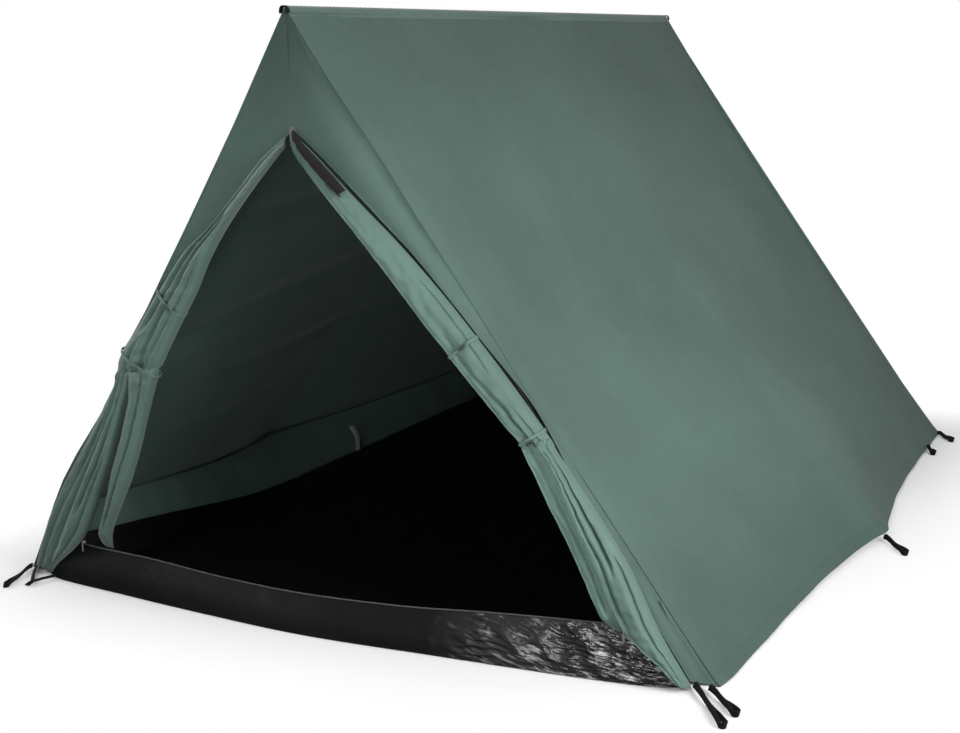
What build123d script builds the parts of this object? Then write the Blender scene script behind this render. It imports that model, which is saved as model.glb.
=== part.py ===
from build123d import *

import math
import os

# A self-supporting ridge tent on two A-shaped pole pairs and a ridge pole. X runs across, the door faces -Y, Z is up.

# Overall shape, mm
HALF_WIDTH = 900.0
LENGTH = 2080.0
HEIGHT = 1340.0
CLOTH = 2.0
FRONT = -LENGTH / 2
REAR = LENGTH / 2
WALL_INSET = 6.0

# Frame
FOLD_AXIS_Z = HEIGHT - 48.0
HALF_ANGLE = math.degrees(math.atan2(HALF_WIDTH, HEIGHT))
LEG_LENGTH = FOLD_AXIS_Z / math.cos(math.radians(HALF_ANGLE))
LEG_RADIUS = 8.0
LEG_BORE = 7.0
LEG_SPIGOT = 6.9
LEG_JOIN = 800.0
SPIGOT_LENGTH = 40.0
EYE_RADIUS = 13.0
EYE_WIDTH = 14.0
PIN_RADIUS = 5.0
PIN_CLEARANCE = 0.05
FOOT_RADIUS = 10.5
RIDGE_RADIUS = 9.5
RIDGE_BORE = 8.5
RIDGE_SPIGOT = 8.4
RIDGE_END = LENGTH / 2 - 55.0
RIDGE_SECTION = 657.0
NEAR_EYE = 23.0  # centre of the left leg's eye, in from the cloth's edge
FAR_EYE = 39.0  # centre of the right leg's eye

# Hem of a roof panel, from front to rear: (out from the middle, along, up). The middle peg pulls it outwards.
HEM = [
    (900.0, FRONT, 0.0),
    (926.0, -700.0, 3.0),
    (939.0, -415.0, 8.0),
    (993.0, -45.0, 22.0),
    (950.0, 230.0, 9.0),
    (917.0, 610.0, 4.0),
    (903.0, REAR, 0.0),
]
HEM_PEAK = 3

# Door opening in the front wall, right half: (across, up), from its top to the ground
DOOR_EDGE = [
    (0.0, 1085.0),
    (94.0, 968.0),
    (199.0, 870.0),
    (312.0, 762.0),
    (410.0, 662.0),
    (500.0, 552.0),
    (556.0, 477.0),
    (645.0, 336.0),
    (752.0, 164.0),
    (857.0, 0.0),
]

# Rolled door flaps: (across, up, half the width, half the depth)
ROLL_RIGHT = [
    (42.0, 1042.0, 9.0, 10.0),
    (130.0, 946.0, 12.0, 13.0),
    (240.0, 836.0, 15.0, 15.0),
    (410.0, 660.0, 22.0, 18.0),
    (490.0, 565.0, 24.0, 20.0),
    (557.0, 476.0, 18.0, 18.0),
    (628.0, 355.0, 34.0, 22.0),
    (712.0, 200.0, 42.0, 24.0),
]
ROLL_LEFT = [
    (45.0, 1045.0, 12.0, 12.0),
    (148.0, 945.0, 20.0, 16.0),
    (245.0, 825.0, 28.0, 20.0),
    (345.0, 708.0, 44.0, 22.0),
    (402.0, 626.0, 46.0, 22.0),
    (458.0, 556.0, 42.0, 22.0),
    (575.0, 355.0, 62.0, 24.0),
    (662.0, 215.0, 70.0, 24.0),
]
ROLL_BACK = FRONT + 3.0  # the rolls' rearmost line
TIE_WIDTH = 10.0
TIE_SPAN = 1.5
TIE_GAP = 2.5
UPPER_TIE = 3
LOWER_TIE = 5
TOGGLE_LENGTH = 24.0
TOGGLE_RADIUS = 3.5

# Groundsheet and the sill across the doorway
FLOOR_HALF = 800.0
FLOOR_REAR = REAR - 40.0
TUB_WALL = 70.0
SILL = [  # (across, how far it stands forward at the ground, the same at its top edge, top height)
    (0.0, 92.0, 45.0, 76.0),
    (780.0, 30.0, 15.0, 115.0),
    (855.0, 6.0, 5.0, 120.0),
]
ZIP_TAPE = 9.0
ZIP_TAPE_PROUD = 7.5
SLIDER_PROUD = 14.0

# Small hardware
SLIDER = (16.0, 7.0, 10.0)
PULLER = (6.0, 1.5, 24.0)
DOOR_PULLER = (7.0, 1.5, 38.0)
LOOP_WIDTH = 10.0
LOOP_STRAP = 1.6
LOOP_EYE = 6.0

os.makedirs("parts", exist_ok=True)


def save(name, shape):
    """Writes one piece."""
    export_step(shape, f"parts/{name}.step")


def mirror_left(shape):
    """The same piece on the other side of the middle plane."""
    return mirror(shape, about=Plane.YZ)


def flat_polygon(points):
    """A face through points that lie in one plane."""
    return make_face(Polyline(*points, close=True))


def cloth(faces, push):
    """One thin solid from faces that share edges, each given its thickness along the same vector."""
    way = Vector(*push)
    solids = [extrude(flat_polygon(f), amount=way.length, dir=way.normalized()) for f in faces]
    whole = solids[0]
    for s in solids[1:]:
        whole = whole + s
    return whole


def rod(start, end, radius, bore=0.0):
    """A round bar, or a tube, between two points."""
    line = Vector(*end) - Vector(*start)
    plane = Plane(origin=start, z_dir=line.normalized())
    section = Circle(radius)
    if bore:
        section = section - Circle(bore)
    return extrude(plane * section, amount=line.length)


def roof_panel():
    """The right slope: a fan of facets from the ridge to the hem."""
    top = [(3.0, FRONT, HEIGHT - 4.5), (3.0, REAR, HEIGHT - 4.5)]
    faces = [(top[0], HEM[i], HEM[i + 1]) for i in range(HEM_PEAK)]
    faces.append((top[0], HEM[HEM_PEAK], top[1]))
    faces += [(top[1], HEM[i], HEM[i + 1]) for i in range(HEM_PEAK, len(HEM) - 1)]
    angle = math.radians(HALF_ANGLE)
    return cloth(faces, (-CLOTH * math.cos(angle), 0, -CLOTH * math.sin(angle)))


def gable(y):
    """A full triangular end wall just inside the roof."""
    low = HALF_WIDTH - WALL_INSET
    tip = HEIGHT - WALL_INSET * HEIGHT / HALF_WIDTH
    points = [(-low, y, 0), (low, y, 0), (0, y, tip)]
    return extrude(flat_polygon(points), amount=CLOTH, dir=(0, 1, 0))


def front_wall():
    """The door end: the hood over the doorway and the narrow borders down both edges."""
    right = [(x, FRONT, z) for x, z in DOOR_EDGE]
    left = [(-x, FRONT, z) for x, z in reversed(DOOR_EDGE[1:])]
    below = [(DOOR_EDGE[-1][0], FRONT, -10.0), (-DOOR_EDGE[-1][0], FRONT, -10.0)]
    opening = flat_polygon(right + below + left)
    return gable(FRONT + WALL_INSET) - extrude(opening, amount=4 * WALL_INSET, dir=(0, 1, 0))


def ridge_seam():
    """The binding sewn over the two slopes' top edges."""
    out, _, up = HEM[HEM_PEAK]
    slope = (HEIGHT - up) / out
    reach, gap, thick = 14.0, 1.0, 2.4
    under = [(-reach, HEIGHT - reach * slope + gap), (0, HEIGHT + gap), (reach, HEIGHT - reach * slope + gap)]
    over = [(x, z + thick) for x, z in reversed(under)]
    points = [(x, FRONT, z) for x, z in under + over]
    return extrude(flat_polygon(points), amount=LENGTH, dir=(0, 1, 0))


def apex_tab():
    """The folded webbing tab that closes the ridge seam's front end."""
    tab = Box(13, 12, 20) - Pos(0, 6, 0) * Box(9, 12, 30)
    return Pos(0, FRONT - 7, HEIGHT - 7) * tab


def leg_point(along, y):
    """A point on the right leg's centre line, along mm down from the fold axis."""
    angle = math.radians(HALF_ANGLE)
    return (along * math.sin(angle), y, FOLD_AXIS_Z - along * math.cos(angle))


def leg_eye(y):
    """The eye that turns on the ridge pin, with the stub that plugs into the leg."""
    half = EYE_WIDTH / 2
    ring = rod((0, y - half, FOLD_AXIS_Z), (0, y + half, FOLD_AXIS_Z), EYE_RADIUS)
    stub = rod(leg_point(6, y), leg_point(24 + SPIGOT_LENGTH, y), LEG_SPIGOT - 0.4)
    hole = rod((0, y - 20, FOLD_AXIS_Z), (0, y + 20, FOLD_AXIS_Z), PIN_RADIUS + PIN_CLEARANCE)
    return ring + stub - hole


def leg_upper(y):
    """The upper section, with the reduced end that plugs into the lower one."""
    tube = rod(leg_point(20, y), leg_point(LEG_JOIN, y), LEG_RADIUS, LEG_BORE)
    spigot = rod(leg_point(LEG_JOIN - 5, y), leg_point(LEG_JOIN + SPIGOT_LENGTH, y), LEG_SPIGOT, LEG_SPIGOT - 1)
    collar = rod(leg_point(LEG_JOIN - 5, y), leg_point(LEG_JOIN, y), LEG_RADIUS, LEG_SPIGOT - 1)
    return tube + spigot + collar


def leg_lower(y):
    return rod(leg_point(LEG_JOIN + 0.5, y), leg_point(LEG_LENGTH - 14, y), LEG_RADIUS, LEG_BORE)


def leg_foot(y):
    """The plastic cap on the leg's lower end."""
    cap = rod(leg_point(LEG_LENGTH - 46, y), leg_point(LEG_LENGTH - 8, y), FOOT_RADIUS)
    return cap - rod(leg_point(LEG_LENGTH - 60, y), leg_point(LEG_LENGTH - 13.5, y), LEG_RADIUS + 0.05)


def ridge_section(start, end, spigot):
    """A ridge pole section. spigot is the side its reduced end points to, or 0."""
    tube = rod((0, start, FOLD_AXIS_Z), (0, end, FOLD_AXIS_Z), RIDGE_RADIUS, RIDGE_BORE)
    if not spigot:
        return tube
    face = end if spigot > 0 else start
    inner = RIDGE_SPIGOT - 1
    reduced = rod((0, face - spigot * 5, FOLD_AXIS_Z), (0, face + spigot * SPIGOT_LENGTH, FOLD_AXIS_Z), RIDGE_SPIGOT, inner)
    collar = rod((0, face - spigot * 5, FOLD_AXIS_Z), (0, face, FOLD_AXIS_Z), RIDGE_RADIUS, inner)
    return tube + reduced + collar


def ridge_spindle(side):
    """The plug in a ridge pole's end, with the pin both leg eyes turn on and its peened head."""
    def bar(start, end, radius):
        return rod((0, side * start, FOLD_AXIS_Z), (0, side * end, FOLD_AXIS_Z), radius)

    plug = bar(RIDGE_END - SPIGOT_LENGTH, RIDGE_END + 1, RIDGE_SPIGOT)
    flange = bar(RIDGE_END + 0.5, RIDGE_END + 7, RIDGE_RADIUS)
    pin = bar(RIDGE_END + 5, REAR - 11, PIN_RADIUS)
    head = bar(REAR - 14, REAR - 10, RIDGE_RADIUS - 1)
    return plug + flange + pin + head


def path_plane(path, i, side):
    """The plane across a door roll at one of its stations."""
    a = path[max(i - 1, 0)]
    b = path[min(i + 1, len(path) - 1)]
    x, z, _, depth = path[i]
    along = Vector(side * (b[0] - a[0]), 0, b[1] - a[1]).normalized()
    centre = (side * x, ROLL_BACK - 3.5 - depth, z)
    return Plane(origin=centre, x_dir=Vector(0, 1, 0).cross(along), z_dir=along)


def door_roll(path, side):
    """A door flap rolled up along its seam."""
    rings = [path_plane(path, i, side) * Ellipse(s[2], s[3]) for i, s in enumerate(path)]
    return loft(rings)


def tie_band(path, i, side):
    """The strap round a roll."""
    _, _, wide, deep = path[i]
    inner = Ellipse(wide + TIE_GAP, deep + TIE_GAP)
    outer = Ellipse(wide + TIE_GAP + TIE_SPAN, deep + TIE_GAP + TIE_SPAN)
    return extrude(path_plane(path, i, side) * (outer - inner), amount=TIE_WIDTH / 2, both=True)


def tie_toggle(path, i, side):
    """The toggle that holds a strap shut, lying on its front."""
    plane = path_plane(path, i, side)
    out = path[i][3] + TIE_GAP + TIE_SPAN + TOGGLE_RADIUS + 1
    centre = Vector(*plane.origin) + Vector(0, -out, 0)
    half = plane.z_dir * (TOGGLE_LENGTH / 2)
    bar = rod(tuple(centre - half), tuple(centre + half), TOGGLE_RADIUS)
    return bar + Pos(*centre) * Sphere(TOGGLE_RADIUS + 0.9)


def sill_point(i, side, top):
    """A corner of the sill, on the ground or on its top edge."""
    x, low, high, z = SILL[i]
    return (side * x, FRONT - (high if top else low), z if top else 0.0)


def sill():
    """The stiff upstand of the groundsheet across the doorway."""
    faces = []
    for side in (-1, 1):
        for i in range(len(SILL) - 1):
            a, b = sill_point(i, side, False), sill_point(i + 1, side, False)
            c, d = sill_point(i + 1, side, True), sill_point(i, side, True)
            faces += [(a, b, c), (a, c, d)]
    return cloth(faces, (0, CLOTH, 0))


def zip_tape():
    """The zip tape sewn along the front of the sill's top edge."""
    faces = []
    for side in (-1, 1):
        a, b = (Vector(*sill_point(i, side, True)) for i in (0, 1))
        drop, proud = Vector(0, 0, ZIP_TAPE), Vector(0, ZIP_TAPE_PROUD, 0)
        quad = [a - proud, b - proud, b - proud - drop, a - proud - drop]
        faces.append([tuple(p) for p in quad])
    return cloth(faces, (0, -CLOTH, 0))


def groundsheet():
    """The floor with its low side and rear walls."""
    front = [(side * SILL[i][0], FRONT - SILL[i][1] + 4) for side, i in ((-1, 2), (-1, 1), (1, 0), (1, 1), (1, 2))]
    outline = front + [(FLOOR_HALF, FRONT + 40), (FLOOR_HALF, FLOOR_REAR), (-FLOOR_HALF, FLOOR_REAR), (-FLOOR_HALF, FRONT + 40)]
    floor = extrude(flat_polygon([(x, y, 0) for x, y in outline]), amount=CLOTH, dir=(0, 0, 1))
    depth = FLOOR_REAR - FRONT - 40
    middle = (FLOOR_REAR + FRONT + 40) / 2
    for side in (-1, 1):
        floor += Pos(side * (FLOOR_HALF - CLOTH / 2), middle, TUB_WALL / 2) * Box(CLOTH, depth, TUB_WALL)
    floor += Pos(0, FLOOR_REAR - CLOTH / 2, TUB_WALL / 2) * Box(2 * FLOOR_HALF, CLOTH, TUB_WALL)
    return floor


def slider_place(side):
    """Where a sill zip's slider is parked, near the sill's outer end."""
    a, b = (Vector(*sill_point(i, side, True)) for i in (0, 1))
    return a + (b - a) * 0.95 + Vector(0, -SLIDER_PROUD, -ZIP_TAPE / 2)


def zip_slider(centre):
    """A slider body with the bridge its pull hangs from."""
    wide, deep, tall = SLIDER
    body = fillet(Box(wide, deep, tall).edges().filter_by(Axis.Y), 2)
    bridge = Pos(0, -deep / 2 - 1, 0) * Box(3, 4, 6)
    return Pos(*centre) * (body + bridge)


def zip_puller(centre, size):
    """A pull tab that hangs in front of its slider."""
    wide, deep, tall = size
    plate = Box(wide, deep, tall, align=(Align.CENTER, Align.CENTER, Align.MAX))
    plate = fillet(plate.edges().filter_by(Axis.Y), wide / 3)
    hole = Pos(0, 0, -tall + wide / 2 + 1) * Box(wide / 3, 3 * deep, wide / 3)
    return Pos(centre.X, centre.Y - SLIDER[1] / 2 - 5, centre.Z + 2) * (plate - hole)


def door_slider_place():
    return Vector(0, FRONT - 1, DOOR_EDGE[0][1] + 8)


def peg_loop(anchor, eye):
    """A webbing loop sewn to the hem at anchor, with a stitched round eye for a peg."""
    ax, ay = anchor
    ex, ey = eye
    reach = Vector(ex - ax, ey - ay, 0)
    along, across = reach.normalized(), Vector(-reach.Y, reach.X, 0).normalized()
    wide = LOOP_EYE + LOOP_STRAP

    def strip(a, b):
        line = b - a
        turn = math.degrees(math.atan2(line.Y, line.X))
        middle = (a + b) * 0.5
        return Pos(middle.X, middle.Y, LOOP_WIDTH / 2) * Rot(0, 0, turn) * Box(line.length, LOOP_STRAP, LOOP_WIDTH)

    end = Vector(ex, ey, 0)
    start = Vector(ax, ay, 0)
    inset = wide - LOOP_STRAP / 2
    sides = [strip(start + across * (s * 3), end + across * (s * inset)) for s in (-1, 1)]
    root = strip(start - across * 4, start + across * 4)
    ring = Pos(ex, ey, 0) * (Cylinder(wide, LOOP_WIDTH) - Cylinder(LOOP_EYE, LOOP_WIDTH))
    ring = Pos(0, 0, LOOP_WIDTH / 2) * ring
    hole = Pos(ex, ey, LOOP_WIDTH / 2) * Cylinder(LOOP_EYE, 2 * LOOP_WIDTH)
    return ring + sides[0] + sides[1] + root - hole


# Where each peg loop is sewn, and its eye: (across, along). The straps at the door lie differently left and right.
LOOPS_BOTH = {
    "middle": ((997.0, -30.0), (1066.0, -124.0)),
    "rear_corner": ((911.0, REAR - 22), (958.0, REAR - 74)),
    "rear_floor": ((918.0, REAR - 202), (938.0, REAR - 242)),
}
LOOPS_RIGHT = {
    "front_corner": ((912.0, FRONT - 10), (984.0, FRONT - 81)),
    "front_floor": ((882.0, FRONT - 8), (979.0, FRONT - 137)),
    **LOOPS_BOTH,
}
LOOPS_LEFT = {
    "front_corner": ((911.0, FRONT - 10), (871.0, FRONT - 127)),
    "front_floor": ((847.0, FRONT - 24), (825.0, FRONT - 91)),
    **LOOPS_BOTH,
}


def save_legs():
    """Four legs. On each pin the left leg's eye is the outer one."""
    for end, side in (("front", -1), ("rear", 1)):
        for name, inset in (("right", FAR_EYE), ("left", NEAR_EYE)):
            y = side * (REAR - inset)
            pieces = {"eye": leg_eye(y), "upper": leg_upper(y), "lower": leg_lower(y), "foot": leg_foot(y)}
            for part, shape in pieces.items():
                save(f"leg_{part}_{end}_{name}", mirror_left(shape) if name == "left" else shape)


def save_ridge():
    half = RIDGE_SECTION / 2
    save("ridge_pole_front", ridge_section(-RIDGE_END, -half - 0.5, 1))
    save("ridge_pole_middle", ridge_section(-half, half, 1))
    save("ridge_pole_rear", ridge_section(half + 0.5, RIDGE_END, 0))
    save("ridge_spindle_front", ridge_spindle(-1))
    save("ridge_spindle_rear", ridge_spindle(1))
    save("ridge_seam", ridge_seam())
    save("apex_tab_front", apex_tab())
    save("apex_tab_rear", mirror(apex_tab(), about=Plane.XZ))


def save_canopy():
    save("roof_right", roof_panel())
    save("roof_left", mirror_left(roof_panel()))
    save("front_wall", front_wall())
    save("rear_wall", gable(REAR - WALL_INSET - CLOTH))
    save("inner_tab", Pos(-764, 200, 42) * Box(1.5, 12, 50))


def save_floor():
    save("groundsheet", groundsheet())
    save("door_sill", sill())
    save("sill_zip_tape", zip_tape())


def save_door():
    for name, path, side in (("left", ROLL_LEFT, -1), ("right", ROLL_RIGHT, 1)):
        save(f"door_roll_{name}", door_roll(path, side))
        for level, i in (("upper", UPPER_TIE), ("lower", LOWER_TIE)):
            save(f"tie_band_{level}_{name}", tie_band(path, i, side))
            save(f"tie_toggle_{level}_{name}", tie_toggle(path, i, side))
        save(f"sill_slider_{name}", zip_slider(slider_place(side)))
        save(f"sill_puller_{name}", zip_puller(slider_place(side), PULLER))
    save("door_slider", zip_slider(door_slider_place()))
    save("door_puller", zip_puller(door_slider_place(), DOOR_PULLER))


def save_peg_loops():
    for name, (anchor, eye) in LOOPS_RIGHT.items():
        save(f"peg_loop_{name}_right", peg_loop(anchor, eye))
    for name, (anchor, eye) in LOOPS_LEFT.items():
        save(f"peg_loop_{name}_left", mirror_left(peg_loop(anchor, eye)))


save_legs()
save_ridge()
save_canopy()
save_floor()
save_door()
save_peg_loops()
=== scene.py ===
import math

import bmesh
import bpy
import numpy as np
from mathutils import Matrix, Vector

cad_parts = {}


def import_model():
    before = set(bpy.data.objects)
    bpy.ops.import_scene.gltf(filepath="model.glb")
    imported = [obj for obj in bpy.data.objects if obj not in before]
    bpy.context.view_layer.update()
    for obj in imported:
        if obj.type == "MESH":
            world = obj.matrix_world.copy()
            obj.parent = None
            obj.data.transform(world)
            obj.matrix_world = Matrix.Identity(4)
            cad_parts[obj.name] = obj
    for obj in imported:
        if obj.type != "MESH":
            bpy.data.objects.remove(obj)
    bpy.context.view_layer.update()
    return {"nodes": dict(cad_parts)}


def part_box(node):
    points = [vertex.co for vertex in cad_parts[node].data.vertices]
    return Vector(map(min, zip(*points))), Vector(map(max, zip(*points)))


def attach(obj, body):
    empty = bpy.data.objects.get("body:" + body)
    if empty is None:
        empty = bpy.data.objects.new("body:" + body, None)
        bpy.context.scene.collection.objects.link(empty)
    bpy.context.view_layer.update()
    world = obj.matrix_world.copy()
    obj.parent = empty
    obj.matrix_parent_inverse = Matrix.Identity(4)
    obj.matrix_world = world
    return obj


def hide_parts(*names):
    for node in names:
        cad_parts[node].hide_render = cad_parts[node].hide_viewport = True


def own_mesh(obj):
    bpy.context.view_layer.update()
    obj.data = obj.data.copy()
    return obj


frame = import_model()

# Real sizes, m. X across, +Y from the door to the rear, Z up.
HALF_WIDTH = 0.90
HEIGHT = 1.34
FRONT, REAR = -1.04, 1.04
HALF_ANGLE = math.atan2(HALF_WIDTH, HEIGHT)
SLANT = math.hypot(HALF_WIDTH, HEIGHT)
OUT = np.array([math.cos(HALF_ANGLE), 0.0, math.sin(HALF_ANGLE)])  # outward normal of the right slope
FRONT_TURN = 0.026  # the right slope's front edge lies this far behind the door plane, round its leg
CLOTH = 0.0012  # thickness of the canopy cloth
SIDES = ((1, "right"), (-1, "left"))  # sign across, word

# Share of its width that each cloth between the slopes keeps when they are folded together.
FRONT_KEEP = 0.36
REAR_KEEP = 0.304


# ---------------- curves and fields

def run_along(points):
    """Distance along a line of points, from its first one."""
    return np.concatenate([[0], np.cumsum(np.linalg.norm(np.diff(points, axis=0), axis=1))])


def evenly(points, count):
    """A line of points again, at count places evenly spaced along it."""
    run = run_along(points)
    at = np.linspace(0, 1, count) * run[-1]
    return np.stack([np.interp(at, run, points[:, k]) for k in range(points.shape[1])], 1)


def resample(points, count):
    """A smooth curve through points, at count places evenly spaced along it."""
    p = np.array(points, float)
    padded = np.vstack([2 * p[0] - p[1], p, 2 * p[-1] - p[-2]])
    dense = []
    for i in range(1, len(padded) - 2):
        t = np.linspace(0, 1, 24, endpoint=i == len(padded) - 3)[:, None]
        a, b, c, d = padded[i - 1:i + 3]
        square, cube = 2 * a - 5 * b + 4 * c - d, 3 * b - a - 3 * c + d
        dense.append(0.5 * (2 * b + (c - a) * t + square * t**2 + cube * t**3))
    return evenly(np.vstack(dense), count)


def between(a, b, k, share):
    """Coordinate k of the rows of points from line a across to line b."""
    return a[:, None, k] + (b[:, None, k] - a[:, None, k]) * share


def step(x, low, high):
    """0 below low, 1 above high, smooth between."""
    t = np.clip((x - low) / (high - low), 0, 1)
    return t * t * (3 - 2 * t)


def bump(x, centre, width):
    """1 at centre, fading to 0 about two widths away."""
    return np.exp(-(((x - centre) / width) ** 2))


def arch(x):
    """0 at 0 and at 1, and 1 half-way between."""
    return np.sin(math.pi * x)


def waves(u, v, seed, size, stretch=1.0):
    """Soft random relief, mostly within -1 to 1. size is its typical length, drawn out along v by stretch."""
    rng = np.random.default_rng(seed)
    count = 14
    total = np.zeros(np.broadcast(u, v).shape)
    for _ in range(count):
        angle = rng.uniform(0, 2 * math.pi)
        k = 2 * math.pi / (size * rng.uniform(0.7, 1.8))
        along = u * math.cos(angle) + v * math.sin(angle) / stretch
        total = total + np.sin(k * along + rng.uniform(0, 2 * math.pi))
    return total / math.sqrt(count)


# ---------------- mesh helpers

def add_object(name, data):
    obj = bpy.data.objects.new(name, data)
    bpy.context.scene.collection.objects.link(obj)
    return obj


def sheet(name, points, material, uv=None, thick=CLOTH, closed=False, flip=False):
    """A cloth piece from a grid of points[row, column]. closed joins the last column to the first, and flip
    turns its faces to the other side."""
    if flip:
        points, uv = points[:, ::-1], None if uv is None else uv[:, ::-1]
    rows, cols = points.shape[:2]
    index = np.arange(rows * cols).reshape(rows, cols)
    right = np.roll(index, -1, 1) if closed else index[:, 1:]
    left = index if closed else index[:, :-1]
    quads = np.stack([left[:-1], right[:-1], right[1:], left[1:]], -1).reshape(-1, 4)
    mesh = bpy.data.meshes.new(name)
    mesh.from_pydata(points.reshape(-1, 3).tolist(), [], quads.tolist())
    if uv is None:
        uv = np.zeros((rows, cols, 2))
        uv[1:, :, 0] = np.cumsum(np.linalg.norm(np.diff(points, axis=0), axis=2), 0)
        uv[:, 1:, 1] = np.cumsum(np.linalg.norm(np.diff(points, axis=1), axis=2), 1)
    flat = uv.reshape(-1, 2)
    layer = mesh.uv_layers.new(name="cloth")
    layer.data.foreach_set("uv", flat[quads.reshape(-1)].ravel())
    mesh.polygons.foreach_set("use_smooth", [True] * len(mesh.polygons))
    mesh.materials.append(material)
    obj = add_object(name, mesh)
    if thick:
        solid = obj.modifiers.new("thickness", "SOLIDIFY")
        solid.thickness = thick
        solid.offset = 0
    return obj


def cord(name, path, radius, material, sides, flat=1.0):
    """A round cord along path. radius may be a number per point; flat stretches it along its own up."""
    path = np.array(path, float)
    radius = np.broadcast_to(radius, len(path))
    tangent = np.gradient(path, axis=0)
    tangent /= np.linalg.norm(tangent, axis=1)[:, None]
    up = np.array([0, 0, 1.0]) if abs(tangent[:, 2]).mean() < 0.8 else np.array([0, 1.0, 0])
    side = np.cross(tangent, up)
    side /= np.linalg.norm(side, axis=1)[:, None]
    up = np.cross(side, tangent)
    angle = np.linspace(0, 2 * math.pi, sides, endpoint=False)
    ring = np.cos(angle)[None, :, None] * side[:, None] + flat * np.sin(angle)[None, :, None] * up[:, None]
    points = path[:, None] + ring * radius[:, None, None]
    obj = sheet(name, points, material, thick=0, closed=True)
    close_ends(obj, len(path), sides)
    return obj


def close_ends(obj, rows, cols):
    """Caps both ends of a closed tube of rows rings."""
    bm = bmesh.new()
    bm.from_mesh(obj.data)
    bm.verts.ensure_lookup_table()
    bm.faces.new([bm.verts[i] for i in reversed(range(cols))])
    bm.faces.new([bm.verts[(rows - 1) * cols + i] for i in range(cols)])
    bmesh.ops.recalc_face_normals(bm, faces=bm.faces)
    bm.to_mesh(obj.data)
    bm.free()


def put(obj, body, slot, *nodes, fold=0, keep=FRONT_KEEP):
    """Rides obj on a body and hides the CAD nodes it stands for. slot is not used. fold is the side (1 right,
    -1 left) or "floor"; with any fold the object gets its own copy of its mesh."""
    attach(obj, body)
    if nodes:
        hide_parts(*nodes)
    if fold == "floor":
        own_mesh(obj)
    elif fold:
        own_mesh(obj)
    return obj


def box_centre(node):
    """Middle of a CAD node's box."""
    low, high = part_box(node)
    return (np.array(low) + np.array(high)) / 2


# ---------------- materials

class Nodes:
    """Short calls for building a node tree."""

    def __init__(self, name):
        self.material = bpy.data.materials.new(name)
        self.material.use_nodes = True
        self.tree = self.material.node_tree
        self.shader = self.tree.nodes["Principled BSDF"]

    def feed(self, socket, value):
        """Gives an input its value, or links it to another node's output."""
        if isinstance(value, bpy.types.NodeSocket):
            self.tree.links.new(value, socket)
        else:
            socket.default_value = value

    def add(self, kind, inputs=None, **settings):
        node = self.tree.nodes.new(kind)
        for key, value in settings.items():
            setattr(node, key, value)
        for key, value in (inputs or {}).items():
            self.feed(node.inputs[key], value)
        return node

    def where(self):
        """The place on the object, in metres."""
        return self.add("ShaderNodeTexCoord").outputs["Object"]

    def cloth_uv(self):
        """The place on the flat cloth, in metres."""
        return self.add("ShaderNodeUVMap", uv_map="cloth").outputs["UV"]

    def mapped(self, vector, scale=(1, 1, 1), angle=0.0):
        inputs = {"Vector": vector, "Scale": scale, "Rotation": (0, 0, angle)}
        return self.add("ShaderNodeMapping", inputs).outputs[0]

    def part(self, vector, index):
        """One coordinate of a place."""
        return self.add("ShaderNodeSeparateXYZ", {"Vector": vector}).outputs[index]

    def maths(self, operation, a, b=0.0):
        return self.add("ShaderNodeMath", {0: a, 1: b}, operation=operation).outputs[0]

    def times(self, a, b):
        return self.maths("MULTIPLY", a, b)

    def ramp(self, value, low, high, to_low=0.0, to_high=1.0):
        inputs = {"Value": value, "From Min": low, "From Max": high, "To Min": to_low, "To Max": to_high}
        return self.add("ShaderNodeMapRange", inputs).outputs["Result"]

    def noise(self, vector, scale, detail, roughness=0.5):
        inputs = {"Vector": vector, "Scale": scale, "Detail": detail, "Roughness": roughness}
        return self.add("ShaderNodeTexNoise", inputs).outputs["Fac"]

    def mix(self, factor, a, b):
        """Colour a, or b where factor is 1."""
        return self.add("ShaderNodeMix", {0: factor, 6: a, 7: b}, data_type="RGBA").outputs[2]

    def ridges(self, vector):
        """0 along the edges of random facets, more towards their middles."""
        inputs = {"Vector": vector, "Scale": 1.0}
        return self.add("ShaderNodeTexVoronoi", inputs, feature="DISTANCE_TO_EDGE").outputs["Distance"]

    def bump(self, height, strength, distance, under=None):
        inputs = {"Height": height, "Strength": strength, "Distance": distance}
        if under is not None:
            inputs["Normal"] = under
        return self.add("ShaderNodeBump", inputs).outputs["Normal"]

    def finish(self, **inputs):
        for key, value in inputs.items():
            self.feed(self.shader.inputs[key.replace("_", " ")], value)
        return self.material


def rgba(r, g, b):
    return (r, g, b, 1.0)


def scaled(colour, k):
    return tuple(c * k for c in colour[:3]) + (1.0,)


def weave_height(n, uv, pitch):
    """Plain weave: two crossed sets of threads, pitch apart."""
    k = 2 * math.pi / pitch
    threads = [n.maths("SINE", n.times(n.part(uv, i), k)) for i in (0, 1)]
    return n.times(threads[0], threads[1])


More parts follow.
